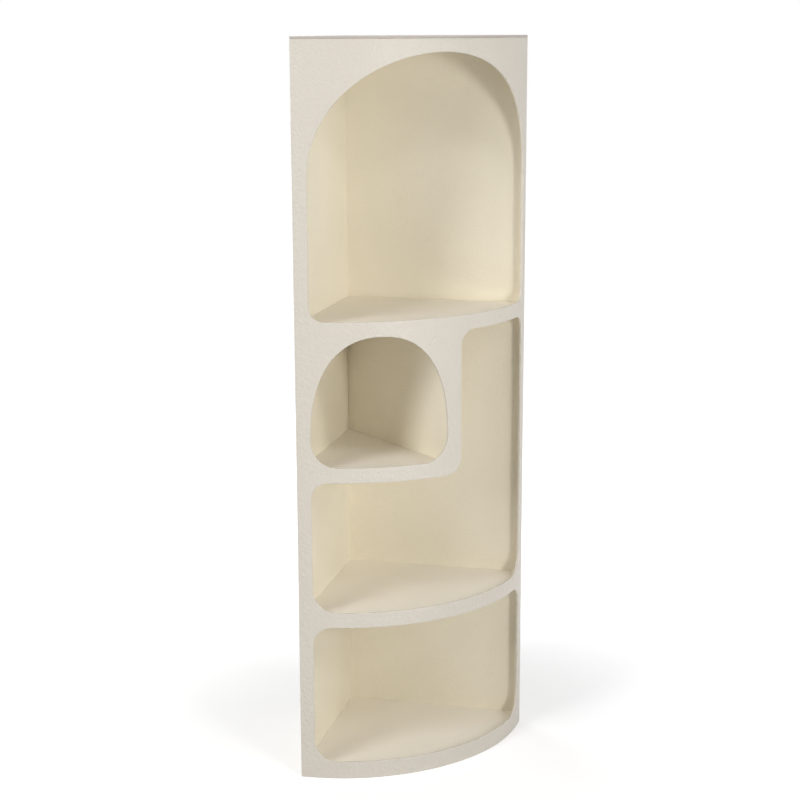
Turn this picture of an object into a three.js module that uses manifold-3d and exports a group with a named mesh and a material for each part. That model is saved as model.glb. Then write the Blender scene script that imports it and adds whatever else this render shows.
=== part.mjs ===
import * as THREE from 'three';
import { mergeVertices } from 'three/addons/utils/BufferGeometryUtils.js';
import Module from 'manifold-3d';

const wasm = await Module();
wasm.setup();

// Corner shelf unit, in millimetres, +Z up. The origin is at the bottom centre of its box,
// the square back corner is at -X +Y and the curved front faces +X -Y.
// Plan places are (right, front): how far right of and how far in front of the back corner.

// Overall sizes and stock
const RADIUS = 400;
const HEIGHT = 1535;
const SHEET = 5;
const BOND_LINE = 0.3;
const RIM_DROP = 12;
const LAP_SHARE = 0.5;
const OVERRUN = 10;

// The front laid flat: stiles, bands and the lips that stand above the floors
const STILE = 30;
const TOP_BAND = 31;
const BASE_BAND = 37;
const LOWER_BAND = 32;
const NICHE_BAND = 31.5;
const UPPER_BAND = 31;
const SHELF_LIP = 7.5;
const BASE_LIP = 13;

// Clear heights of the openings
const LOW_OPENING = 297.5;
const MIDDLE_OPENING = 278;
const NICHE_OPENING = 269.5;

// Widths along the curve
const NICHE_WIDTH = 294;
const NICHE_POST = 34;

// Rounding of the openings
const LOW_TOP_RADIUS = 40;
const LOW_BOTTOM_RADIUS = 48;
const MIDDLE_BOTTOM_RADIUS = 50;
const MIDDLE_TOP_RADIUS = 35;
const BLOCK_RADIUS = 35;
const ARCH_BOTTOM_RADIUS = 30;
const ARCH_RISE = 242;
const NICHE_BOTTOM_RADIUS = 55;
const NICHE_POWER = 2.3;

// The slanted partition leaves the left wall here and meets the front at this share of its sweep
const PARTITION_START = 12;
const PARTITION_SWEEP_SHARE = 0.529;

// Faceting
const SWEEP = Math.PI / 2;
const FACETS = 48;
const CORNER_STEPS = 8;
const CURVE_STEPS = 56;
const RING_SHARES = [0.2, 0.4, 0.6, 0.8, 1];

// Derived places
const CURVE_LENGTH = RADIUS * SWEEP;
const FACET_LENGTH = CURVE_LENGTH / FACETS;
const INNER_RADIUS = RADIUS - SHEET;
const FIT_RADIUS = INNER_RADIUS - BOND_LINE;
const LEFT_EDGE = STILE;
const RIGHT_EDGE = CURVE_LENGTH - STILE;
const LOW_BOTTOM = BASE_BAND;
const LOW_TOP = LOW_BOTTOM + LOW_OPENING;
const MIDDLE_BOTTOM = LOW_TOP + LOWER_BAND;
const BLOCK_BOTTOM = MIDDLE_BOTTOM + MIDDLE_OPENING;
const NICHE_BOTTOM = BLOCK_BOTTOM + NICHE_BAND;
const NICHE_TOP = NICHE_BOTTOM + NICHE_OPENING;
const ARCH_BOTTOM = NICHE_TOP + UPPER_BAND;
const ARCH_TOP = HEIGHT - TOP_BAND;
const SPRING_LINE = ARCH_TOP - ARCH_RISE;
const NICHE_LEFT = LEFT_EDGE;
const NICHE_RIGHT = NICHE_LEFT + NICHE_WIDTH;
const SLOT_LEFT = NICHE_RIGHT + NICHE_POST;
const WALL_TOP = HEIGHT - SHEET;
const UPPER_FLOOR = ARCH_BOTTOM - SHELF_LIP;
const NICHE_FLOOR = NICHE_BOTTOM - SHELF_LIP;
const LOWER_FLOOR = MIDDLE_BOTTOM - SHELF_LIP;
const BASE_FLOOR = LOW_BOTTOM - BASE_LIP;
const PARTITION_ANGLE = SWEEP * PARTITION_SWEEP_SHARE;

// A plan place as model coordinates
function place(right, front) {
  return [right - RADIUS / 2, RADIUS / 2 - front];
}

// A place on the curve: distance along the front from its left end, height, and radius
function onCurve(along, height, radius) {
  const angle = along / RADIUS;
  return [...place(radius * Math.sin(angle), radius * Math.cos(angle)), height];
}

// Plan points of an arc about the back corner, with angles counted from the left end
function arcPlan(radius, from, to) {
  const points = [];
  for (let i = 0; i <= FACETS; i += 1) {
    const angle = from + ((to - from) * i) / FACETS;
    points.push([radius * Math.sin(angle), radius * Math.cos(angle)]);
  }
  return points;
}

// An indexed geometry as a manifold solid
function toSolid(geometry) {
  geometry.deleteAttribute('normal');
  geometry.deleteAttribute('uv');
  const merged = mergeVertices(geometry);
  const mesh = new wasm.Mesh({
    numProp: 3,
    vertProperties: new Float32Array(merged.attributes.position.array),
    triVerts: new Uint32Array(merged.index.array),
  });
  return new wasm.Manifold(mesh);
}

// A manifold solid as a geometry
function toGeometry(solid) {
  const mesh = solid.getMesh();
  const geometry = new THREE.BufferGeometry();
  geometry.setAttribute('position', new THREE.BufferAttribute(new Float32Array(mesh.vertProperties), 3));
  geometry.setIndex(new THREE.BufferAttribute(new Uint32Array(mesh.triVerts), 1));
  geometry.computeVertexNormals();
  return geometry;
}

// A plan outline raised between two heights
function raise(plan, bottom, top) {
  const shape = new THREE.Shape(plan.map(([right, front]) => new THREE.Vector2(...place(right, front))));
  const geometry = new THREE.ExtrudeGeometry(shape, { depth: top - bottom, bevelEnabled: false });
  geometry.translate(0, 0, bottom);
  return toSolid(geometry);
}

// The quarter plan inside walls of the given thickness, out to a radius
function quarterPlan(wall, radius) {
  const start = Math.asin(wall / radius);
  return [[wall, wall], ...arcPlan(radius, start, SWEEP - start)];
}

// Left face of the partition: its foot on the left wall, its direction and its normal towards the niche
const foot = new THREE.Vector2(SHEET, PARTITION_START);
const head = new THREE.Vector2(Math.sin(PARTITION_ANGLE), Math.cos(PARTITION_ANGLE)).multiplyScalar(INNER_RADIUS);
const along = head.clone().sub(foot).normalize();
const across = new THREE.Vector2(-along.y, along.x);

// Where the partition face, moved towards the niche by a distance, meets a plane beside the left wall
function atWall(offset, wall) {
  const base = foot.clone().addScaledVector(across, offset);
  const travel = (wall - base.x) / along.x;
  return base.addScaledVector(along, travel).toArray();
}

// Where the moved partition face meets a radius about the back corner
function atRadius(offset, radius) {
  const base = foot.clone().addScaledVector(across, offset);
  const middle = -base.dot(along);
  const travel = middle + Math.sqrt(middle * middle + radius * radius - base.lengthSq());
  return base.addScaledVector(along, travel).toArray();
}

// Plan of the niche between the left wall, the partition and the front, drawn in by an inset
function nichePlan(inset) {
  const wall = SHEET + inset;
  const radius = FIT_RADIUS - inset;
  const offset = BOND_LINE + inset;
  const end = atRadius(offset, radius);
  const from = Math.asin(wall / radius);
  const to = Math.atan2(end[0], end[1]);
  return [atWall(offset, wall), ...arcPlan(radius, from, to)];
}

// A sheet with a rim turned down all round, from its plan and the plan inside its rim
function tray(plan, pocket, floor, rimBottom) {
  const block = raise(plan, rimBottom, floor);
  return block.subtract(raise(pocket, rimBottom - OVERRUN, floor - SHEET));
}

// A shelf over the whole quarter
function quarterTray(floor, rimBottom) {
  return tray(quarterPlan(SHEET, FIT_RADIUS), quarterPlan(SHEET + SHEET, FIT_RADIUS - SHEET), floor, rimBottom);
}

function rimBelow(floor) {
  return floor - SHEET - RIM_DROP;
}

// Left wall with a rebate along the back corner for the right wall
function leftWall() {
  const lap = SHEET * LAP_SHARE;
  const plan = [[0, 0], [lap, 0], [lap, SHEET], [SHEET, SHEET], [SHEET, FIT_RADIUS], [0, FIT_RADIUS]];
  return raise(plan, 0, WALL_TOP);
}

// Right wall, seated in the rebate
function rightWall() {
  const lap = SHEET * LAP_SHARE;
  return raise([[lap, 0], [FIT_RADIUS, 0], [FIT_RADIUS, SHEET], [lap, SHEET]], 0, WALL_TOP);
}

// Flat lid over the walls and the front, with a locating rim inside them
function topPanel() {
  const lid = raise([[0, 0], ...arcPlan(RADIUS, 0, SWEEP)], WALL_TOP, WALL_TOP + SHEET);
  const block = raise(quarterPlan(SHEET, FIT_RADIUS), rimBelow(WALL_TOP + SHEET), WALL_TOP + SHEET * LAP_SHARE);
  const pocket = raise(
    quarterPlan(SHEET + SHEET, FIT_RADIUS - SHEET),
    rimBelow(WALL_TOP + SHEET) - OVERRUN,
    WALL_TOP,
  );
  return lid.add(block).subtract(pocket);
}

// Slanted sheet beside the niche, notched at the top round the rim of the upper shelf
function partition() {
  const plan = [atWall(0, SHEET), atRadius(0, FIT_RADIUS), atRadius(-SHEET, FIT_RADIUS), atWall(-SHEET, SHEET)];
  const sheet = raise(plan, rimBelow(NICHE_FLOOR), UPPER_FLOOR - SHEET);
  const notchBottom = rimBelow(UPPER_FLOOR) - BOND_LINE;
  const inside = raise(
    quarterPlan(SHEET + SHEET + BOND_LINE, FIT_RADIUS - SHEET - BOND_LINE),
    notchBottom - OVERRUN,
    UPPER_FLOOR + OVERRUN,
  );
  const notches = raise([[0, 0], ...arcPlan(RADIUS, 0, SWEEP)], notchBottom, UPPER_FLOOR).subtract(inside);
  return sheet.subtract(notches);
}

// Points of a flat outline whose corners are [along, height, rounding]
function roundedOutline(corners) {
  const points = [];
  corners.forEach(([s, z, rounding], i) => {
    const corner = new THREE.Vector2(s, z);
    const before = new THREE.Vector2(...corners.at(i - 1)).sub(corner).normalize();
    const after = new THREE.Vector2(...corners[(i + 1) % corners.length]).sub(corner).normalize();
    const half = Math.acos(before.dot(after)) / 2;
    const axis = before.clone().add(after).normalize();
    const centre = corner.clone().addScaledVector(axis, rounding / Math.sin(half));
    const start = corner.clone().addScaledVector(before, rounding / Math.tan(half)).sub(centre);
    const end = corner.clone().addScaledVector(after, rounding / Math.tan(half)).sub(centre);
    const turn = Math.atan2(start.cross(end), start.dot(end));
    for (let k = 0; k <= CORNER_STEPS; k += 1) {
      points.push(start.clone().rotateAround(new THREE.Vector2(), (turn * k) / CORNER_STEPS).add(centre).toArray());
    }
  });
  return points;
}

// The same outline with no step along the curve longer than a facet
function fineOutline(points) {
  return points.flatMap((point, i) => {
    const next = points[(i + 1) % points.length];
    const steps = Math.max(1, Math.ceil(Math.abs(next[0] - point[0]) / FACET_LENGTH));
    return Array.from({ length: steps }, (_, k) => [
      point[0] + ((next[0] - point[0]) * k) / steps,
      point[1] + ((next[1] - point[1]) * k) / steps,
    ]);
  });
}

// Half of an oval drawn from right to left over a middle line
function crown(middle, halfWidth, base, rise, power) {
  const points = [];
  for (let k = 1; k < CURVE_STEPS; k += 1) {
    const angle = (Math.PI * k) / CURVE_STEPS;
    const cos = Math.cos(angle);
    const reach = Math.sign(cos) * Math.abs(cos) ** (2 / power);
    points.push([middle + halfWidth * reach, base + rise * Math.sin(angle) ** (2 / power)]);
  }
  return points;
}

// Outline of the bottom opening
function lowOutline() {
  return roundedOutline([
    [LEFT_EDGE, LOW_BOTTOM, LOW_BOTTOM_RADIUS],
    [RIGHT_EDGE, LOW_BOTTOM, LOW_BOTTOM_RADIUS],
    [RIGHT_EDGE, LOW_TOP, LOW_TOP_RADIUS],
    [LEFT_EDGE, LOW_TOP, LOW_TOP_RADIUS],
  ]);
}

// Outline of the L-shaped opening, which runs up beside the niche
function middleOutline() {
  return roundedOutline([
    [LEFT_EDGE, MIDDLE_BOTTOM, MIDDLE_BOTTOM_RADIUS],
    [RIGHT_EDGE, MIDDLE_BOTTOM, MIDDLE_BOTTOM_RADIUS],
    [RIGHT_EDGE, NICHE_TOP, MIDDLE_TOP_RADIUS],
    [SLOT_LEFT, NICHE_TOP, MIDDLE_TOP_RADIUS],
    [SLOT_LEFT, BLOCK_BOTTOM, BLOCK_RADIUS],
    [LEFT_EDGE, BLOCK_BOTTOM, MIDDLE_TOP_RADIUS],
  ]);
}

// Outline of the arched opening under the top
function archOutline() {
  const halfWidth = (RIGHT_EDGE - LEFT_EDGE) / 2;
  const foot = roundedOutline([
    [LEFT_EDGE, ARCH_BOTTOM, ARCH_BOTTOM_RADIUS],
    [RIGHT_EDGE, ARCH_BOTTOM, ARCH_BOTTOM_RADIUS],
    [RIGHT_EDGE, SPRING_LINE, 0],
    [LEFT_EDGE, SPRING_LINE, 0],
  ]);
  const jambs = foot.slice(0, 2 * (CORNER_STEPS + 1));
  const shoulders = [[RIGHT_EDGE, SPRING_LINE], ...crown(CURVE_LENGTH / 2, halfWidth, SPRING_LINE, ARCH_RISE, 2)];
  return [...jambs, ...shoulders, [LEFT_EDGE, SPRING_LINE]];
}

// Outline of the niche opening, wide at the bottom and drawn in to a rounded top
function nicheOutline() {
  const middle = (NICHE_LEFT + NICHE_RIGHT) / 2;
  const widest = NICHE_BOTTOM + NICHE_BOTTOM_RADIUS;
  const foot = roundedOutline([
    [NICHE_LEFT, NICHE_BOTTOM, NICHE_BOTTOM_RADIUS],
    [NICHE_RIGHT, NICHE_BOTTOM, NICHE_BOTTOM_RADIUS],
    [NICHE_RIGHT, NICHE_TOP, 0],
    [NICHE_LEFT, NICHE_TOP, 0],
  ]);
  const bowl = foot.slice(0, 2 * (CORNER_STEPS + 1));
  return [...bowl, ...crown(middle, NICHE_WIDTH / 2, widest, NICHE_TOP - widest, NICHE_POWER)];
}

// A closed cutter that carries a flat outline onto the curve, right through the front sheet.
// The outline is seen whole from its centre, so rings drawn towards the centre never cross.
function bentCutter(outline, centre) {
  const points = fineOutline(outline);
  const ring = points.length;
  const layer = 1 + ring * RING_SHARES.length;
  const positions = [INNER_RADIUS - OVERRUN, RADIUS + OVERRUN].flatMap((radius) => [
    ...onCurve(centre[0], centre[1], radius),
    ...RING_SHARES.flatMap((share) => points.flatMap(([s, z]) => {
      const drawn = [centre[0] + (s - centre[0]) * share, centre[1] + (z - centre[1]) * share];
      return onCurve(drawn[0], drawn[1], radius);
    })),
  ]);
  const at = (side, level, i) => side * layer + 1 + level * ring + (i % ring);
  const index = [];
  const last = RING_SHARES.length - 1;
  for (let i = 0; i < ring; i += 1) {
    index.push(layer, at(1, 0, i), at(1, 0, i + 1), 0, at(0, 0, i + 1), at(0, 0, i));
    for (let k = 0; k < last; k += 1) {
      index.push(at(1, k, i), at(1, k + 1, i), at(1, k + 1, i + 1));
      index.push(at(1, k, i), at(1, k + 1, i + 1), at(1, k, i + 1));
      index.push(at(0, k, i), at(0, k + 1, i + 1), at(0, k + 1, i));
      index.push(at(0, k, i), at(0, k, i + 1), at(0, k + 1, i + 1));
    }
    index.push(at(1, last, i + 1), at(1, last, i), at(0, last, i));
    index.push(at(1, last, i + 1), at(0, last, i), at(0, last, i + 1));
  }
  const geometry = new THREE.BufferGeometry();
  geometry.setAttribute('position', new THREE.BufferAttribute(new Float32Array(positions), 3));
  geometry.setIndex(index);
  return toSolid(geometry);
}

// The curved front: one sheet bent through the quarter circle, with its four openings
function frontSkin() {
  const ringPlan = [...arcPlan(RADIUS, 0, SWEEP), ...arcPlan(INNER_RADIUS, SWEEP, 0)];
  const middle = CURVE_LENGTH / 2;
  const nicheMiddle = (NICHE_LEFT + NICHE_RIGHT) / 2;
  const slotMiddle = (SLOT_LEFT + RIGHT_EDGE) / 2;
  return [
    bentCutter(lowOutline(), [middle, (LOW_BOTTOM + LOW_TOP) / 2]),
    bentCutter(middleOutline(), [slotMiddle, (MIDDLE_BOTTOM + BLOCK_BOTTOM) / 2]),
    bentCutter(nicheOutline(), [nicheMiddle, (NICHE_BOTTOM + NICHE_TOP) / 2]),
    bentCutter(archOutline(), [middle, (ARCH_BOTTOM + ARCH_TOP) / 2]),
  ].reduce((sheet, opening) => sheet.subtract(opening), raise(ringPlan, 0, WALL_TOP));
}

// Finely textured cream plastic sheet
const cream = { color: 0xe9e1cf, roughness: 0.55, metalness: 0 };

function addPart(group, name, solid) {
  const mesh = new THREE.Mesh(toGeometry(solid), new THREE.MeshStandardMaterial(cream));
  mesh.name = name;
  group.add(mesh);
}

const unit = new THREE.Group();
unit.name = 'corner_shelf_unit';
addPart(unit, 'front_skin', frontSkin());
addPart(unit, 'left_back_wall', leftWall());
addPart(unit, 'right_back_wall', rightWall());
addPart(unit, 'top_panel', topPanel());
addPart(unit, 'upper_shelf', quarterTray(UPPER_FLOOR, rimBelow(UPPER_FLOOR)));
addPart(unit, 'niche_partition', partition());
addPart(unit, 'niche_floor', tray(nichePlan(0), nichePlan(SHEET), NICHE_FLOOR, rimBelow(NICHE_FLOOR)));
addPart(unit, 'lower_shelf', quarterTray(LOWER_FLOOR, rimBelow(LOWER_FLOOR)));
addPart(unit, 'base_panel', quarterTray(BASE_FLOOR, 0));

export default unit;
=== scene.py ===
"""Dresses the corner shelf unit: softened sheet edges, pebbled cream plastic, light and camera."""

import logging
import math
from abc import ABC, abstractmethod
from dataclasses import dataclass, replace
from enum import Enum
from typing import Any, Callable, Iterable, Sequence

import bmesh
import bpy
from mathutils import Matrix, Vector

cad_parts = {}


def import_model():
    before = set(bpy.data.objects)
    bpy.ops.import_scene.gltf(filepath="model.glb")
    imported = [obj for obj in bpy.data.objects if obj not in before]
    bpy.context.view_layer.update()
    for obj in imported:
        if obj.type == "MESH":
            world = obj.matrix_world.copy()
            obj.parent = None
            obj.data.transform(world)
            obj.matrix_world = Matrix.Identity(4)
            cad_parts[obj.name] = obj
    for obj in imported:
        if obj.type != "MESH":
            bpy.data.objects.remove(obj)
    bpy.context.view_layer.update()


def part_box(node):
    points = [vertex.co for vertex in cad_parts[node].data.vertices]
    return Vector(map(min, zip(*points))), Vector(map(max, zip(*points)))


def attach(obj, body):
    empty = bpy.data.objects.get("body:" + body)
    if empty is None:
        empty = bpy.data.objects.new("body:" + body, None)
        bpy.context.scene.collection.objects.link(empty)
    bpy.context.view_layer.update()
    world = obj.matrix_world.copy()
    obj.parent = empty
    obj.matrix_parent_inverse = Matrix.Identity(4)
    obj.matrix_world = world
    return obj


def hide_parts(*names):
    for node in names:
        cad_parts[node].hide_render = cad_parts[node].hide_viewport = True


log = logging.getLogger("corner_shelf_unit")

BODY = "root"

# How near, in metres, counts as the same: points of a mesh, points where two cuts meet, heights
WELD = 1e-6
CUT_WELD = 1e-5
SAME_HEIGHT = 1e-5

# How much of a face's normal points the way that the face looks
FACING = 0.9

# Edges that bend by less than the first are no edges, more than the second are rounded, and more
# than the third are shaded sharp
STRAIGHT = math.radians(0.05)
ROUNDED = math.radians(40)
SHARP = math.radians(50)

# How much the larger faces lead when the shading is evened
AREA_WEIGHT = 50

WHITE = (1.0, 1.0, 1.0, 1.0)


class Face(Enum):
    """Which way a face looks."""

    BACK = (0.0, 1.0, 0.0)
    DOWN = (0.0, 0.0, -1.0)
    UP = (0.0, 0.0, 1.0)

    def fits(self, normal: Vector) -> bool:
        """Whether a face with this normal looks this way."""
        return normal.dot(Vector(self.value)) > FACING


class Operation(Enum):
    """What a Math node does."""

    ABSOLUTE = "ABSOLUTE"
    ADD = "ADD"
    MAXIMUM = "MAXIMUM"
    MULTIPLY = "MULTIPLY"
    SUBTRACT = "SUBTRACT"


@dataclass(frozen=True)
class UnitSizes:
    """The sizes that the pieces share, in metres, with the floors read from the solids."""

    radius: float
    height: float
    upper_floor: float
    niche_floor: float
    lower_floor: float
    base_floor: float
    sheet: float = 0.005
    bond: float = 0.0003
    rim: float = 0.012
    lap: float = 0.0025
    foot: float = 0.012
    head_share: float = 0.529
    facets: int = 180

    @classmethod
    def from_frame(cls) -> "UnitSizes":
        """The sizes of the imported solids.

        Returns:
            The shared sizes.
        """
        low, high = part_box("front_skin")
        return cls(
            radius=high.x - low.x,
            height=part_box("top_panel")[1].z,
            upper_floor=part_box("upper_shelf")[1].z,
            niche_floor=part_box("niche_floor")[1].z,
            lower_floor=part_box("lower_shelf")[1].z,
            base_floor=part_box("base_panel")[1].z,
        )

    @property
    def corner(self) -> Vector:
        """The back corner on the floor."""
        return Vector((-self.radius / 2, self.radius / 2, 0.0))

    @property
    def inner(self) -> float:
        """Radius of the front's inner face."""
        return self.radius - self.sheet

    @property
    def fit(self) -> float:
        """Radius that the shelves and walls reach."""
        return self.inner - self.bond

    @property
    def wall_top(self) -> float:
        """Height of the walls, under the lid."""
        return self.height - self.sheet

    @property
    def curve(self) -> float:
        """Length of the front along its outer face."""
        return self.radius * math.pi / 2

    @property
    def tray(self) -> float:
        """Height of a shelf, from its floor to the foot of its rim."""
        return self.sheet + self.rim

    @property
    def head_angle(self) -> float:
        """Where the partition meets the front, as an angle about the corner from the left end."""
        return math.pi / 2 * self.head_share

    def place(self, right: float, front: float, height: float = 0.0) -> Vector:
        """A place counted from the back corner.

        Args:
            right: distance to the right of the corner.
            front: distance in front of the corner.
            height: height above the floor.

        Returns:
            The place in the frame.
        """
        return self.corner + Vector((right, -front, height))


# Mesh tools


def deselect_all() -> None:
    """Leaves nothing selected and nothing active."""
    bpy.ops.object.select_all(action="DESELECT")
    bpy.context.view_layer.objects.active = None


def activate(piece: bpy.types.Object) -> None:
    """Leaves only this object selected, and makes it the active one."""
    deselect_all()
    piece.select_set(True)
    bpy.context.view_layer.objects.active = piece


def new_piece(name: str) -> bpy.types.Object:
    """Names the primitive that was just added and enters edit mode on it.

    Args:
        name: the piece's name.

    Returns:
        The new object, selected all over.
    """
    piece = bpy.context.active_object
    piece.name = piece.data.name = name
    bpy.ops.object.transform_apply(location=True, rotation=True, scale=True)
    bpy.ops.object.mode_set(mode="EDIT")
    bpy.ops.mesh.select_mode(type="FACE")
    bpy.ops.mesh.select_all(action="SELECT")
    return piece


def new_block(name: str, middle: Sequence[float], size: Sequence[float]) -> bpy.types.Object:
    """Adds a block and enters edit mode on it.

    Args:
        name: the piece's name.
        middle: the block's middle.
        size: its width, depth and height.

    Returns:
        The new object.
    """
    deselect_all()
    bpy.ops.mesh.primitive_cube_add(size=1, location=middle, scale=size)
    return new_piece(name)


def select_only(piece: bpy.types.Object, parts: Iterable[Any]) -> None:
    """Selects some faces, edges or points of a mesh and nothing else of it.

    Args:
        piece: the object in edit mode.
        parts: the faces, edges or points, from its edit mesh.
    """
    chosen = list(parts)
    shape = bmesh.from_edit_mesh(piece.data)
    for part in (*shape.faces, *shape.edges, *shape.verts):
        part.select_set(False)
    for part in chosen:
        part.select_set(True)
    bmesh.update_edit_mesh(piece.data)


def pick(piece: bpy.types.Object, chosen: Callable[[Vector, Vector], bool]) -> None:
    """Selects the faces that a test chooses.

    Args:
        piece: the object in edit mode.
        chosen: the test, on a face's middle and normal.
    """
    shape = bmesh.from_edit_mesh(piece.data)
    select_only(piece, (
        face for face in shape.faces if chosen(face.calc_center_median(), face.normal)
    ))


def pick_underside(piece: bpy.types.Object, height: float) -> None:
    """Selects the level faces at a height or below it."""
    pick(piece, lambda middle, normal: middle.z < height + SAME_HEIGHT and (
        Face.UP.fits(normal) or Face.DOWN.fits(normal)
    ))


def pick_ring(piece: bpy.types.Object) -> None:
    """Selects the faces round the one that is selected, in its place."""
    shape = bmesh.from_edit_mesh(piece.data)
    edges = {edge for face in shape.faces if face.select for edge in face.edges}
    select_only(piece, [
        face for face in shape.faces
        if not face.select and any(edge in edges for edge in face.edges)
    ])


def split(place: Sequence[float], normal: Sequence[float], clear: bool = False) -> None:
    """Cuts the whole mesh along a plane.

    Args:
        place: a point of the plane.
        normal: the plane's normal, towards the side that stays.
        clear: whether the other side is removed.
    """
    bpy.ops.mesh.select_all(action="SELECT")
    bpy.ops.mesh.bisect(plane_co=place, plane_no=normal, use_fill=False, clear_inner=clear)


def push(move: Sequence[float]) -> None:
    """Extrudes what is selected by a move."""
    bpy.ops.mesh.extrude_region_move(TRANSFORM_OT_translate={"value": tuple(move)})


def push_all(move: Sequence[float]) -> None:
    """Extrudes the whole flat mesh by a move."""
    bpy.ops.mesh.select_all(action="SELECT")
    push(move)


def use_modifier(piece: bpy.types.Object, kind: str, **settings: Any) -> None:
    """Adds a modifier and applies it at once.

    Args:
        piece: the object, in object mode.
        kind: the modifier's type.
        settings: the modifier's own settings.
    """
    activate(piece)
    modifier = piece.modifiers.new(kind.title(), kind)
    for key, value in settings.items():
        setattr(modifier, key, value)
    bpy.ops.object.modifier_apply(modifier=modifier.name)


def close_edit(piece: bpy.types.Object) -> None:
    """Merges what lies together, turns the faces outwards and leaves edit mode."""
    bpy.ops.mesh.select_all(action="SELECT")
    bpy.ops.mesh.remove_doubles(threshold=WELD)
    bpy.ops.mesh.normals_make_consistent(inside=False)
    bpy.ops.object.mode_set(mode="OBJECT")


def soften(piece: bpy.types.Object, width: float, steps: int) -> None:
    """Rounds the sharp edges a little.

    Args:
        piece: the object, in object mode.
        width: width of the rounding.
        steps: flats across it.
    """
    use_modifier(
        piece, "BEVEL", width=width, segments=steps, limit_method="ANGLE",
        angle_limit=ROUNDED, use_clamp_overlap=False,
    )


def even_shade(piece: bpy.types.Object) -> None:
    """Shades the piece smooth with its flats kept flat."""
    activate(piece)
    bpy.ops.object.shade_smooth_by_angle(angle=SHARP)
    use_modifier(piece, "WEIGHTED_NORMAL", mode="FACE_AREA", weight=AREA_WEIGHT, keep_sharp=True)


def finish_edges(piece: bpy.types.Object, rounding: float, steps: int = 3) -> bpy.types.Object:
    """Closes the mesh of a piece in edit mode, rounds its edges and shades it.

    Args:
        piece: the object, in edit mode.
        rounding: width of the rounding at its edges.
        steps: flats across it.

    Returns:
        The same object, in object mode.
    """
    close_edit(piece)
    soften(piece, rounding, steps)
    even_shade(piece)
    return piece


# Shader tools


class Link:
    """A shader socket that Python's operators work on."""

    def __init__(self, shader: "Shader", socket: bpy.types.NodeSocket | None) -> None:
        """Keeps the shader and the socket.

        Args:
            shader: the shader that the socket belongs to.
            socket: an output socket, or none on a node without outputs.
        """
        self.shader = shader
        self.socket = socket

    def _math(self, operation: Operation, *values: Any) -> "Link":
        """A Math node on one or two values."""
        return self.shader.add("ShaderNodeMath", {"operation": operation.value}, values)

    def __add__(self, other: Any) -> "Link":
        """self + other"""
        return self._math(Operation.ADD, self, other)

    def __radd__(self, other: Any) -> "Link":
        """other + self"""
        return self._math(Operation.ADD, other, self)

    def __sub__(self, other: Any) -> "Link":
        """self - other"""
        return self._math(Operation.SUBTRACT, self, other)

    def __rsub__(self, other: Any) -> "Link":
        """other - self"""
        return self._math(Operation.SUBTRACT, other, self)

    def __mul__(self, other: Any) -> "Link":
        """self * other"""
        return self._math(Operation.MULTIPLY, self, other)

    def __rmul__(self, other: Any) -> "Link":
        """other * self"""
        return self._math(Operation.MULTIPLY, other, self)

    def __abs__(self) -> "Link":
        """abs(self)"""
        return self._math(Operation.ABSOLUTE, self)

    def or_more(self, other: Any) -> "Link":
        """The larger of self and other."""
        return self._math(Operation.MAXIMUM, self, other)

    def out(self, name: str | int) -> "Link":
        """Another output of the same node, by its name or number."""
        return Link(self.shader, self.socket.node.outputs[name])


class Shader:
    """The nodes of a material or a world, built from Python expressions."""

    def __init__(self, owner: bpy.types.Material | bpy.types.World) -> None:
        """Starts with no nodes.

        Args:
            owner: the material or the world.
        """
        owner.use_nodes = True
        self.owner = owner
        self.tree = owner.node_tree
        self.tree.nodes.clear()

    def add(self, kind: str, settings: dict[str, Any] | None = None, inputs: Any = ()) -> Link:
        """Adds one node.

        Args:
            kind: the node's type.
            settings: the node's own settings, set first.
            inputs: values or links, by socket name or number, or in order.

        Returns:
            A link to the node's first output.
        """
        node = self.tree.nodes.new(kind)
        for key, value in (settings or {}).items():
            setattr(node, key, value)
        for key, value in inputs.items() if isinstance(inputs, dict) else enumerate(inputs):
            socket = node.inputs[key]
            if isinstance(value, Link):
                self.tree.links.new(value.socket, socket)
            else:
                socket.default_value = value
        return Link(self, node.outputs[0] if node.outputs else None)

    def mix(self, factor: Any, first: Any, second: Any) -> Link:
        """A mix of two colours.

        Args:
            factor: how much of the second.
            first: the first colour.
            second: the second colour.

        Returns:
            A link to the mixed colour.
        """
        # The node has these sockets for colours, under names that its other kinds share
        inputs = {0: factor, 6: first, 7: second}
        return self.add("ShaderNodeMix", {"data_type": "RGBA"}, inputs).out(2)

    def smooth_step(
        self, value: Link, start: float, end: float, first: float, last: float,
    ) -> Link:
        """A soft change from one level to another.

        Args:
            value: what the level follows.
            start: the value up to which the first level holds.
            end: the value from which the last level holds.
            first: the first level.
            last: the last level.

        Returns:
            A link to the level.
        """
        return self.add("ShaderNodeMapRange", {"interpolation_type": "SMOOTHSTEP"}, {
            "Value": value, "From Min": start, "From Max": end, "To Min": first, "To Max": last,
        })


def linear(red: int, green: int, blue: int) -> tuple[float, float, float, float]:
    """A display colour as the shader's linear one.

    Args:
        red: 0 to 255.
        green: 0 to 255.
        blue: 0 to 255.

    Returns:
        Linear red, green, blue and 1.
    """
    def one(value: int) -> float:
        """One channel, by the display's curve."""
        share = value / 255
        return share / 12.92 if share <= 0.04045 else ((share + 0.055) / 1.055) ** 2.4

    return one(red), one(green), one(blue), 1.0


@dataclass(frozen=True)
class Noise:
    """A soft random pattern over a surface."""

    scale: float
    detail: float
    roughness: float

    def build(self, shader: Shader, place: Link) -> Link:
        """Adds the pattern.

        Args:
            shader: the material's shader.
            place: the places that it is spread over.

        Returns:
            A link to its height, from 0 to 1.
        """
        return shader.add("ShaderNodeTexNoise", {}, {
            "Vector": place, "Scale": self.scale, "Detail": self.detail,
            "Roughness": self.roughness,
        })


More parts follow.
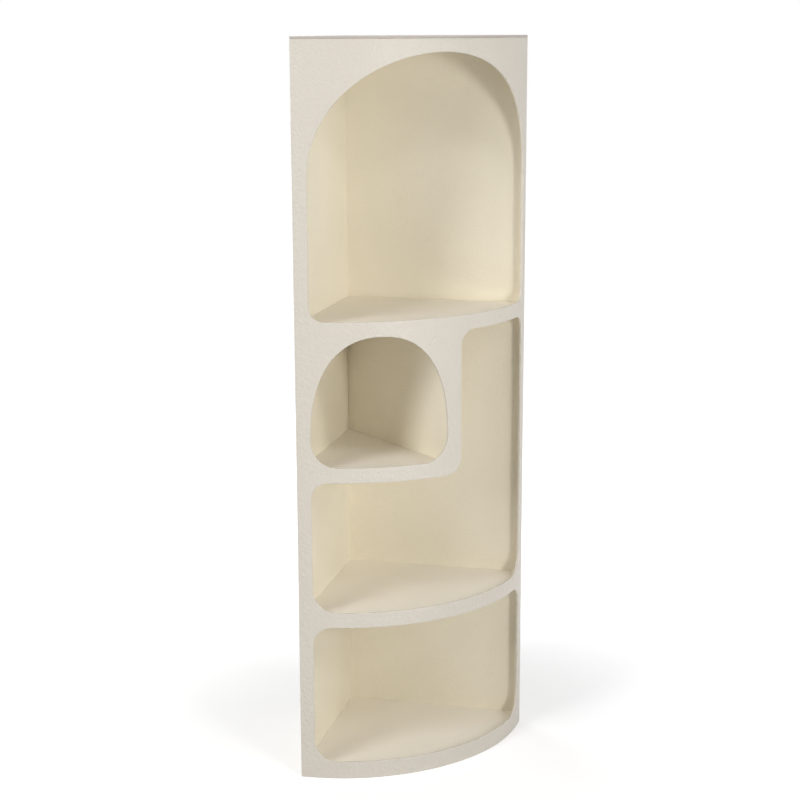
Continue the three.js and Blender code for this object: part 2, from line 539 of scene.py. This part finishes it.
@dataclass(frozen=True)
class PebbledPlastic:
    """Cream sheet with a fine pebbled grain pressed into it and a low sheen.

    The pebble and the dimple are widths in metres, with the depths that they are pressed to. The
    tint wanders between the light and the deep colour with the cloud and the blotch.
    """

    name: str
    light: tuple[int, int, int]
    deep: tuple[int, int, int]
    roughness: float = 0.52
    roughness_swing: float = 0.10
    cloud: Noise = Noise(scale=7.0, detail=4.0, roughness=0.55)
    cloud_share: float = 0.6
    blotch: Noise = Noise(scale=90.0, detail=3.0, roughness=0.6)
    blotch_share: float = 0.4
    pebble: float = 0.0034
    pebble_depth: float = 0.00034
    pebble_softness: float = 0.8
    dimple: float = 0.0075
    dimple_depth: float = 0.00030
    dimple_detail: float = 1.0
    grains_per_pebble: float = 2.2
    grain_depth: float = 0.00006
    grain_detail: float = 2.0
    relief_roughness: float = 0.5
    ior: float = 1.5
    specular: float = 0.4
    # Painted shade: a band of heights, the lid's edge, is darkened to this colour for the little
    # light that falls on it from above
    painted_edge_shade: tuple[int, int, int] | None = None
    painted_shade_band: tuple[float, float] = (0.0, 0.0)
    painted_shade_fade: tuple[float, float] = (0.80, 0.98)

    def _in_painted_shade(self, shader: Shader, place: Link) -> Link:
        """1 in the band of heights that the painted shade darkens, the lid's edge, and 0 elsewhere.
        """
        low, high = self.painted_shade_band
        half = (high - low) / 2
        start, end = self.painted_shade_fade
        height = shader.add("ShaderNodeSeparateXYZ", {}, {"Vector": place}).out("Z")
        return shader.smooth_step(abs(height - (low + half)), half * start, half * end, 1.0, 0.0)

    def _tint(self, shader: Shader, place: Link) -> Link:
        """The plastic's colour, a little uneven, with painted shade on the edge band where one is
        set.
        """
        cloud = self.cloud.build(shader, place)
        blotch = self.blotch.build(shader, place)
        uneven = cloud * self.cloud_share + blotch * self.blotch_share
        tint = shader.mix(uneven, linear(*self.light), linear(*self.deep))
        # Painted shade mixed into the colour over the edge band
        if self.painted_edge_shade:
            tint = shader.mix(self._in_painted_shade(shader, place), tint, linear(*self.painted_edge_shade))
        return tint

    @staticmethod
    def _press(shader: Shader, height: Link, depth: float, under: dict[str, Link]) -> Link:
        """Presses a pattern to a depth, on the normal of the one under it if there is one."""
        return shader.add("ShaderNodeBump", {}, {
            "Strength": 1.0, "Distance": depth, "Height": height, **under,
        })

    def build(self) -> bpy.types.Material:
        """Makes the material.

        Returns:
            The material.
        """
        shader = Shader(bpy.data.materials.new(self.name))
        place = shader.add("ShaderNodeTexCoord").out("Object")
        cells = shader.add("ShaderNodeTexVoronoi", {"feature": "SMOOTH_F1"}, {
            "Vector": place, "Scale": 1 / self.pebble, "Smoothness": self.pebble_softness,
            "Randomness": 1.0,
        })
        dimples = Noise(1 / self.dimple, self.dimple_detail, self.relief_roughness)
        grain = Noise(
            self.grains_per_pebble / self.pebble, self.grain_detail, self.relief_roughness,
        )
        waves = self._press(shader, dimples.build(shader, place), self.dimple_depth, {})
        bumps = self._press(shader, 1 - cells, self.pebble_depth, {"Normal": waves})
        fine = self._press(shader, grain.build(shader, place), self.grain_depth, {"Normal": bumps})
        surface = shader.add("ShaderNodeBsdfPrincipled", {}, {
            "Base Color": self._tint(shader, place),
            "Roughness": self.roughness + (cells - 0.5) * self.roughness_swing,
            "Normal": fine,
            "IOR": self.ior,
            "Specular IOR Level": self.specular,
        })
        shader.add("ShaderNodeOutputMaterial", {}, {"Surface": surface})
        return shader.owner


# Pieces


@dataclass
class Sheet(ABC):
    """One separate sheet of the unit, with its own name and the solid that it stands for."""

    name: str
    node: str
    sizes: UnitSizes

    @abstractmethod
    def build(self) -> bpy.types.Object:
        """Makes the sheet.

        Returns:
            The finished piece.
        """

    def dress(self, plastic: bpy.types.Material) -> None:
        """Makes the sheet and gives it its material, its body and the solid that it stands for.

        Args:
            plastic: the material.
        """
        piece, node = self.build(), self.node
        piece.data.materials.clear()
        piece.data.materials.append(plastic)
        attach(piece, BODY)
        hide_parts(node)
        log.info("%s stands for %s with %d faces", piece.name, node, len(piece.data.polygons))


@dataclass
class QuarterSheet(Sheet):
    """A sheet over the quarter plan."""

    def quarter(self, radius: float, wall: float, height: float) -> bpy.types.Object:
        """A level quarter of a disc round the back corner.

        Args:
            radius: radius of its curved edge.
            wall: how far its straight edges stand in front of the unit's two back faces.
            height: its height above the floor.

        Returns:
            The object, in edit mode.
        """
        sizes = self.sizes
        deselect_all()
        bpy.ops.mesh.primitive_circle_add(
            vertices=sizes.facets, radius=radius, fill_type="NGON",
            location=sizes.place(0, 0, height),
        )
        piece = new_piece(self.name)
        split(sizes.place(wall, 0, height), (1, 0, 0), clear=True)
        split(sizes.place(0, wall, height), (0, -1, 0), clear=True)
        return piece


@dataclass
class QuarterShelf(QuarterSheet):
    """A shelf over the quarter plan: a sheet with its rim turned down all round.

    The rim of the lowest one reaches down to the ground.
    """

    floor: float
    on_ground: bool = False
    rounding: float = 0.0008
    rounding_steps: int = 2

    @property
    def rim_bottom(self) -> float:
        """Height of the rim's foot."""
        return 0.0 if self.on_ground else self.floor - self.sizes.tray

    def outline(self) -> bpy.types.Object:
        """The flat plan of the shelf at its floor.

        Returns:
            The object, in edit mode.
        """
        return self.quarter(self.sizes.fit, self.sizes.sheet, self.floor)

    def build(self) -> bpy.types.Object:
        """Makes the shelf.

        Returns:
            The finished piece.
        """
        piece = self.outline()
        sheet = self.sizes.sheet
        under = self.floor - sheet
        push_all((0, 0, -sheet))
        pick_underside(piece, under)
        bpy.ops.mesh.inset(thickness=sheet, depth=0)
        pick_ring(piece)
        push((0, 0, self.rim_bottom - under))
        return finish_edges(piece, self.rounding, self.rounding_steps)


class Slant:
    """The line of the partition's niche-side face in plan."""

    def __init__(self, sizes: UnitSizes) -> None:
        """Works the line out from the shared sizes.

        Args:
            sizes: the unit's sizes.
        """
        inner, angle = sizes.inner, sizes.head_angle
        self.foot = sizes.place(sizes.sheet, sizes.foot)
        self.head = sizes.place(inner * math.sin(angle), inner * math.cos(angle))
        self.along = (self.head - self.foot).normalized()
        self.across = Vector((self.along.y, -self.along.x, 0.0))

    def at(self, along: float, across: float, height: float) -> Vector:
        """A place along the line, moved towards the niche.

        Args:
            along: distance from the foot.
            across: distance towards the niche.
            height: height above the floor.

        Returns:
            The place.
        """
        return self.foot + self.along * along + self.across * across + Vector((0, 0, height))


@dataclass
class NicheFloor(QuarterShelf):
    """The wedge-shaped floor of the niche, bounded by the slanted partition."""

    def outline(self) -> bpy.types.Object:
        """The flat plan of the wedge at its floor.

        Returns:
            The object, in edit mode.
        """
        piece = super().outline()
        slant = Slant(self.sizes)
        split(slant.at(0, self.sizes.bond, self.floor), slant.across, clear=True)
        return piece


@dataclass
class NichePartition(Sheet):
    """The slanted upright sheet beside the niche, notched at its top round the shelf's rim."""

    rounding: float = 0.0008
    rounding_steps: int = 2

    def build(self) -> bpy.types.Object:
        """Makes the partition.

        Returns:
            The finished piece.
        """
        sizes = self.sizes
        slant = Slant(sizes)
        bottom = sizes.niche_floor - sizes.sheet - sizes.rim
        notch = sizes.upper_floor - sizes.sheet - sizes.rim - sizes.bond
        top = sizes.upper_floor - sizes.sheet
        reach = (slant.head - slant.foot).length
        deselect_all()
        bpy.ops.mesh.primitive_plane_add(
            size=2 * sizes.radius, location=slant.at(reach / 2, 0, bottom),
        )
        piece = new_piece(self.name)
        split(slant.at(0, 0, bottom), -slant.across, clear=True)
        split(slant.at(0, -sizes.sheet, bottom), slant.across, clear=True)
        split(sizes.place(sizes.sheet, 0, bottom), (1, 0, 0), clear=True)
        split(slant.at(reach - sizes.bond, 0, bottom), -slant.along, clear=True)
        push_all((0, 0, notch - bottom))
        split(sizes.place(2 * sizes.sheet + sizes.bond, 0, bottom), (1, 0, 0))
        split(slant.at(reach - sizes.sheet - 2 * sizes.bond, 0, bottom), -slant.along)
        centre = slant.at(reach / 2, -sizes.sheet / 2, 0)
        pick(piece, lambda middle, normal: (
            abs(middle.z - notch) < SAME_HEIGHT
            and abs((middle - centre).dot(slant.along)) < reach / 4
        ))
        push((0, 0, top - notch))
        return finish_edges(piece, self.rounding, self.rounding_steps)


@dataclass
class BackWall(Sheet):
    """A flat wall of the back corner."""

    rounding: float = 0.0009

    def slab(self, left: float, right: float, back: float, front: float) -> bpy.types.Object:
        """A block of the walls' height.

        Args:
            left: its left face, counted from the back corner.
            right: its right face.
            back: its back face.
            front: its front face.

        Returns:
            The object, in edit mode.
        """
        top = self.sizes.wall_top
        middle = self.sizes.place((left + right) / 2, (back + front) / 2, top / 2)
        return new_block(self.name, middle, (right - left, front - back, top))


@dataclass
class LeftWall(BackWall):
    """The left wall, with a rebate for the right one."""

    def build(self) -> bpy.types.Object:
        """Makes the wall.

        Returns:
            The finished piece.
        """
        sizes = self.sizes
        piece = self.slab(0, sizes.sheet, sizes.sheet, sizes.fit)
        split(sizes.place(sizes.lap, 0), (1, 0, 0))
        pick(piece, lambda middle, normal: (
            Face.BACK.fits(normal) and middle.x < sizes.corner.x + sizes.lap
        ))
        push((0, sizes.sheet, 0))
        return finish_edges(piece, self.rounding)


@dataclass
class RightWall(BackWall):
    """The right wall, which sits in the left one's rebate."""

    def build(self) -> bpy.types.Object:
        """Makes the wall.

        Returns:
            The finished piece.
        """
        sizes = self.sizes
        return finish_edges(self.slab(sizes.lap, sizes.fit, 0, sizes.sheet), self.rounding)


@dataclass
class Lid(QuarterSheet):
    """The flat top over the walls and the front, with a locating rim inside them."""

    rounding: float = 0.0012

    def build(self) -> bpy.types.Object:
        """Makes the lid.

        Returns:
            The finished piece.
        """
        sizes = self.sizes
        piece = self.quarter(sizes.radius, 0, sizes.height)
        push_all((0, 0, -sizes.sheet))
        pick_underside(piece, sizes.wall_top)
        bpy.ops.mesh.inset(thickness=sizes.sheet + sizes.bond, depth=0)
        bpy.ops.mesh.inset(thickness=sizes.sheet, depth=0)
        pick_ring(piece)
        push((0, 0, -sizes.rim))
        return finish_edges(piece, self.rounding)


@dataclass
class CurvedFront(Sheet):
    """The curved front: a flat sheet with four openings and softened edges, bent to the quarter.

    The openings are drawn on the flat sheet. The bottom and top of each are heights above the
    floor, and widths run along the sheet from its left end.
    """

    stile: float = 0.030
    low: tuple[float, float] = (0.037, 0.3345)
    middle: tuple[float, float] = (0.3665, 0.6445)
    niche: tuple[float, float] = (0.676, 0.9455)
    arch: tuple[float, float] = (0.9765, 1.504)
    niche_width: float = 0.294
    post: float = 0.034
    low_bottom_radius: float = 0.048
    low_top_radius: float = 0.040
    middle_bottom_radius: float = 0.050
    middle_top_radius: float = 0.035
    block_radius: float = 0.035
    arch_radius: float = 0.030
    arch_rise: float = 0.242
    arch_power: float = 2.0
    niche_radius: float = 0.055
    niche_radius_share: float = 0.998
    niche_power: float = 2.3
    dome_points: int = 160
    corner_steps: int = 20
    bends: int = 96
    rounding: float = 0.0010
    rounding_steps: int = 3
    depth: float = 0.02

    def build(self) -> bpy.types.Object:
        """Makes the front.

        Returns:
            The finished piece.
        """
        size = (self.sizes.curve, self.sizes.sheet, self.sizes.wall_top)
        piece = new_block(self.name, [side / 2 for side in size], size)
        close_edit(piece)
        for cutter in (self._low(), self._middle(), self._niche(), self._arch()):
            use_modifier(piece, "BOOLEAN", operation="DIFFERENCE", solver="EXACT", object=cutter)
            bpy.data.objects.remove(cutter)
        soften(piece, self.rounding, self.rounding_steps)
        self._bend(piece)
        even_shade(piece)
        return piece

    def _panel(
        self, name: str, left: float, right: float, bottom: float, top: float,
    ) -> bpy.types.Object:
        """A flat rectangle that looks to the front, in edit mode."""
        along, height = (left + right) / 2, (bottom + top) / 2
        deselect_all()
        bpy.ops.mesh.primitive_plane_add(
            size=1, location=(along, -self.depth, height), rotation=(math.pi / 2, 0, 0),
        )
        piece = new_piece(name)
        bpy.ops.transform.resize(
            value=(right - left, 1, top - bottom), center_override=(along, 0, height),
        )
        return piece

    def _raise_edge(
        self, piece: bpy.types.Object, height: float, span: tuple[float, float], move: float,
    ) -> None:
        """Extrudes the level edge at a height and within a span, then makes one face of it all."""
        bpy.ops.mesh.select_mode(type="EDGE")
        start, end = span[0] - WELD, span[1] + WELD
        select_only(piece, (
            edge for edge in bmesh.from_edit_mesh(piece.data).edges
            if all(
                abs(point.co.z - height) < WELD and start < point.co.x < end
                for point in edge.verts
            )
        ))
        push((0, 0, move))
        bpy.ops.mesh.select_all(action="SELECT")
        bpy.ops.mesh.dissolve_limited(angle_limit=STRAIGHT)

    def _round(
        self, piece: bpy.types.Object, corners: Iterable[tuple[float, float, float]],
    ) -> None:
        """Rounds corners of a flat face, each given as its place along, its height and a radius."""
        bpy.ops.mesh.select_mode(type="VERT")
        for along, height, radius in corners:
            nearest = min(
                bmesh.from_edit_mesh(piece.data).verts,
                key=lambda point: math.dist((point.co.x, point.co.z), (along, height)),
            )
            select_only(piece, [nearest])
            bpy.ops.mesh.bevel(
                offset=radius, segments=self.corner_steps, affect="VERTICES", clamp_overlap=False,
            )

    def _cutter(self, piece: bpy.types.Object) -> bpy.types.Object:
        """Gives a flat outline its depth, right through the sheet."""
        bpy.ops.mesh.select_mode(type="FACE")
        push_all((0, 2 * self.depth + self.sizes.sheet, 0))
        close_edit(piece)
        return piece

    def _ends(self) -> tuple[float, float]:
        """Left and right edge of the full-width openings."""
        return self.stile, self.sizes.curve - self.stile

    def _low(self) -> bpy.types.Object:
        """The cutter of the bottom opening."""
        left, right = self._ends()
        bottom, top = self.low
        piece = self._panel("low_opening", left, right, bottom, top)
        self._round(piece, [
            (left, bottom, self.low_bottom_radius), (right, bottom, self.low_bottom_radius),
            (right, top, self.low_top_radius), (left, top, self.low_top_radius),
        ])
        return self._cutter(piece)

    def _middle(self) -> bpy.types.Object:
        """The cutter of the L-shaped opening."""
        left, right = self._ends()
        bottom, block = self.middle
        top = self.niche[1]
        slot = left + self.niche_width + self.post
        piece = self._panel("middle_opening", left, right, bottom, block)
        split((slot, 0, 0), (1, 0, 0))
        self._raise_edge(piece, block, (slot, right), top - block)
        self._round(piece, [
            (left, bottom, self.middle_bottom_radius), (right, bottom, self.middle_bottom_radius),
            (right, top, self.middle_top_radius), (slot, top, self.middle_top_radius),
            (slot, block, self.block_radius), (left, block, self.middle_top_radius),
        ])
        return self._cutter(piece)

    def _dome(
        self, name: str, middle: float, half: float, base: float, rise: float, power: float,
    ) -> bpy.types.Object:
        """The upper half of an oval, in edit mode, from a circle drawn out to size and power."""
        deselect_all()
        bpy.ops.mesh.primitive_circle_add(
            vertices=self.dome_points, radius=1, fill_type="NGON",
            location=(0, -self.depth, 0), rotation=(math.pi / 2, 0, 0),
        )
        piece = new_piece(name)
        shape = bmesh.from_edit_mesh(piece.data)
        for point in shape.verts:
            across, up = (
                math.copysign(abs(share) ** (2 / power), share)
                for share in (point.co.x, point.co.z)
            )
            point.co.x = middle + half * across
            point.co.z = base + rise * up
        bmesh.update_edit_mesh(piece.data)
        split((0, 0, base), (0, 0, 1), clear=True)
        return piece

    def _niche(self) -> bpy.types.Object:
        """The cutter of the niche's opening."""
        left, (bottom, top) = self.stile, self.niche
        right = left + self.niche_width
        base = bottom + self.niche_radius
        half = self.niche_width / 2
        piece = self._dome("niche_opening", left + half, half, base, top - base, self.niche_power)
        self._raise_edge(piece, base, (left, right), -self.niche_radius)
        near = self.niche_radius * self.niche_radius_share
        self._round(piece, [(left, bottom, near), (right, bottom, near)])
        return self._cutter(piece)

    def _arch(self) -> bpy.types.Object:
        """The cutter of the arched opening."""
        left, right = self._ends()
        bottom, top = self.arch
        base = top - self.arch_rise
        half = (right - left) / 2
        piece = self._dome(
            "arched_opening", left + half, half, base, self.arch_rise, self.arch_power,
        )
        self._raise_edge(piece, base, (left, right), bottom - base)
        self._round(piece, [(left, bottom, self.arch_radius), (right, bottom, self.arch_radius)])
        return self._cutter(piece)

    def _bend(self, piece: bpy.types.Object) -> None:
        """Divides the flat sheet into narrow strips and bends it about the back corner."""
        sizes = self.sizes
        bpy.ops.object.mode_set(mode="EDIT")
        bpy.ops.mesh.select_mode(type="FACE")
        for step in range(1, self.bends):
            split((sizes.curve * step / self.bends, 0, 0), (1, 0, 0))
        bpy.ops.mesh.select_all(action="SELECT")
        bpy.ops.mesh.remove_doubles(threshold=CUT_WELD)
        bpy.ops.object.mode_set(mode="OBJECT")
        for point in piece.data.vertices:
            angle = point.co.x / sizes.radius
            radius = sizes.radius - point.co.y
            point.co = sizes.place(radius * math.sin(angle), radius * math.cos(angle), point.co.z)
        bpy.ops.object.mode_set(mode="EDIT")
        close_edit(piece)


# Studio


@dataclass(frozen=True)
class StudioLight:
    """A square soft light that looks at the unit, with its azimuth in degrees."""

    name: str
    azimuth: float
    height: float
    size: float
    power: float
    distance: float = 3.0
    aim: float = 0.8

    def build(self) -> bpy.types.Object:
        """Makes the light.

        Returns:
            The light.
        """
        angle = math.radians(self.azimuth)
        right, front = math.sin(angle) * self.distance, math.cos(angle) * self.distance
        place = Vector((right, -front, self.height))
        data = bpy.data.lights.new(self.name, "AREA")
        data.shape = "SQUARE"
        data.size = self.size
        data.energy = self.power
        light = bpy.data.objects.new(self.name, data)
        light.location = place
        ahead = Vector((0, 0, self.aim)) - place
        light.rotation_euler = ahead.to_track_quat("-Z", "Y").to_euler()
        bpy.context.scene.collection.objects.link(light)
        return light


@dataclass(frozen=True)
class PhotoCamera:
    """The camera at the photograph's place, turned as it was, with its angles in radians."""

    place: tuple[float, float, float] = (0.79342, -3.43175, 1.55069)
    yaw: float = 0.23560
    pitch: float = -0.21436
    roll: float = -0.00349
    lens: float = 76.9812
    film: float = 36.0
    nearest: float = 0.1
    farthest: float = 60.0

    def build(self) -> bpy.types.Object:
        """Makes the camera and sets it as the scene's.

        Returns:
            The camera.
        """
        right = Vector((math.cos(self.yaw), math.sin(self.yaw), 0))
        ahead = Vector((-math.sin(self.yaw), math.cos(self.yaw), 0))
        up = Vector((0, 0, 1))
        view = ahead * math.cos(self.pitch) + up * math.sin(self.pitch)
        tilted = -ahead * math.sin(self.pitch) + up * math.cos(self.pitch)
        across = right * math.cos(self.roll) + tilted * math.sin(self.roll)
        upward = -right * math.sin(self.roll) + tilted * math.cos(self.roll)
        turn = Matrix((across, upward, -view)).transposed().to_4x4()
        data = bpy.data.cameras.new("camera")
        data.sensor_width = self.film
        data.lens = self.lens
        data.clip_start, data.clip_end = self.nearest, self.farthest
        camera = bpy.data.objects.new("camera", data)
        camera.matrix_world = Matrix.Translation(self.place) @ turn
        bpy.context.scene.collection.objects.link(camera)
        bpy.context.scene.camera = camera
        return camera


@dataclass(frozen=True)
class Studio:
    """The white surroundings: a pale floor and an even, weak light from all round.

    The floor's glow lifts it to white where it is seen. It is lower within the shadow's reach, so
    that the unit's shadow shows there, and full from the reach's far end on.
    """

    ambient: float = 0.08
    tint: tuple[float, float, float] = (0.895, 0.929, 1.0)
    floor_size: float = 30.0
    floor_white: float = 0.8
    floor_glow: float = 0.42
    shadow_reach: tuple[float, float] = (0.35, 1.6)

    def build(self) -> None:
        """Makes the floor and the world, and sets how the picture is shown."""
        self._world()
        self._floor()
        bpy.context.scene.view_settings.view_transform = "Standard"

    @staticmethod
    def _seen(shader: Shader) -> Link:
        """1 where the camera, or a reflection or clear material, sees the surroundings directly."""
        path = shader.add("ShaderNodeLightPath")
        direct = path.out("Is Camera Ray").or_more(path.out("Is Glossy Ray"))
        return direct.or_more(path.out("Is Transmission Ray"))

    def _glow(self, shader: Shader) -> Link:
        """How much the floor is lifted to white where it is seen."""
        place = shader.add("ShaderNodeTexCoord").out("Object")
        far = shader.add("ShaderNodeVectorMath", {"operation": "LENGTH"}, [place]).out("Value")
        return shader.smooth_step(far, *self.shadow_reach, self.floor_glow, 1.0)

    def _world(self) -> None:
        """White where it is seen, and a weak even light elsewhere."""
        world = bpy.data.worlds.new("studio")
        bpy.context.scene.world = world
        shader = Shader(world)
        white = shader.add("ShaderNodeBackground", {}, {"Color": WHITE, "Strength": 1.0})
        weak = shader.add("ShaderNodeBackground", {}, {
            "Color": (*self.tint, 1.0), "Strength": self.ambient,
        })
        mix = shader.add("ShaderNodeMixShader", {}, [self._seen(shader), weak, white])
        shader.add("ShaderNodeOutputWorld", {}, {"Surface": mix})

    def _floor(self) -> None:
        """A matt white floor that still takes the unit's shadow."""
        deselect_all()
        bpy.ops.mesh.primitive_plane_add(size=self.floor_size, location=(0, 0, 0))
        floor = bpy.context.active_object
        floor.name = "studio_floor"
        shader = Shader(bpy.data.materials.new("studio_floor"))
        matt = shader.add("ShaderNodeBsdfDiffuse", {}, {
            "Color": (self.floor_white, self.floor_white, self.floor_white, 1.0),
        })
        glow = shader.add("ShaderNodeEmission", {}, {
            "Color": WHITE, "Strength": self._seen(shader) * self._glow(shader),
        })
        both = shader.add("ShaderNodeAddShader", {}, [matt, glow])
        shader.add("ShaderNodeOutputMaterial", {}, {"Surface": both})
        floor.data.materials.append(shader.owner)


# One cream plastic in several copies whose colours differ as painted light: the inner copies are
# set lighter than the front's to lift the shade inside the compartments
WALL_PLASTIC = PebbledPlastic(
    "pebbled_cream_plastic", light=(247, 240, 222), deep=(243, 234, 211),
)
# Painted light: the shelves' copy of the cream is set lighter and less yellow than the walls', to
# brighten their floors
SHELF_PLASTIC = PebbledPlastic(
    "pebbled_shelf_plastic", light=(250, 244, 234), deep=(246, 239, 224),
)
# Painted light: the partition's copy of the cream is set lighter still, to lift the shade in the
# niche
PARTITION_PLASTIC = PebbledPlastic(
    "pebbled_partition_plastic", light=(253, 246, 229), deep=(250, 241, 219),
)
# The front's copy is darker than the inner ones, which carry the painted light; its coarser pebble
# and lower roughness are its own
FRONT_PLASTIC = PebbledPlastic(
    "pebbled_front_plastic", light=(226, 219, 208), deep=(221, 213, 199), roughness=0.44,
    pebble=0.0050, pebble_depth=0.0008, dimple=0.0090, dimple_depth=0.0011,
)
# Painted shade: the lid's edge is darkened, as little light falls on it from above
LID_PLASTIC = replace(FRONT_PLASTIC, name="pebbled_lid_plastic", painted_edge_shade=(192, 183, 175))

LIGHTS = (
    StudioLight("left_high_light", azimuth=-30, height=3.2, size=1.0, power=30.5),
    StudioLight("left_low_light", azimuth=-35, height=1.7, size=1.0, power=21.8),
    StudioLight("front_light", azimuth=45, height=1.2, size=0.6, power=29.2),
    StudioLight("right_high_light", azimuth=60, height=3.4, size=0.5, power=14.2),
    StudioLight("right_light", azimuth=75, height=2.0, size=0.5, power=11.1),
    StudioLight("side_light", azimuth=105, height=1.0, size=0.8, power=7.4),
    StudioLight("back_light", azimuth=-135, height=2.0, size=1.5, power=30.0),
    StudioLight("top_light", azimuth=0, height=4.0, size=1.2, power=20.0, distance=0.3),
)


def build_unit() -> None:
    """Makes and dresses every piece, the front and the lid with the coarser outer pebble."""
    sizes = UnitSizes.from_frame()
    # The inner copies of the cream are set lighter than the front's, as painted light
    walls = WALL_PLASTIC.build()
    shelves = SHELF_PLASTIC.build()
    partition = PARTITION_PLASTIC.build()
    front = FRONT_PLASTIC.build()
    # The lid's edge band, from the walls' top to the top, gets the painted shade
    lid = replace(LID_PLASTIC, painted_shade_band=(sizes.wall_top, sizes.height)).build()
    CurvedFront("curved_front", "front_skin", sizes).dress(front)
    LeftWall("left_wall", "left_back_wall", sizes).dress(walls)
    RightWall("right_wall", "right_back_wall", sizes).dress(walls)
    Lid("lid", "top_panel", sizes).dress(lid)
    QuarterShelf("arch_shelf", "upper_shelf", sizes, sizes.upper_floor).dress(shelves)
    QuarterShelf("middle_shelf", "lower_shelf", sizes, sizes.lower_floor).dress(shelves)
    QuarterShelf("bottom_panel", "base_panel", sizes, sizes.base_floor, True).dress(shelves)
    NicheFloor("niche_shelf", "niche_floor", sizes, sizes.niche_floor).dress(shelves)
    NichePartition("slanted_partition", "niche_partition", sizes).dress(partition)


def main() -> None:
    """Builds the camera, the lights, the surroundings and the unit."""
    logging.basicConfig(level=logging.INFO, format="%(name)s: %(message)s")
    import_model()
    PhotoCamera().build()
    for light in LIGHTS:
        light.build()
    Studio().build()
    build_unit()


if __name__ == "__main__":
    main()
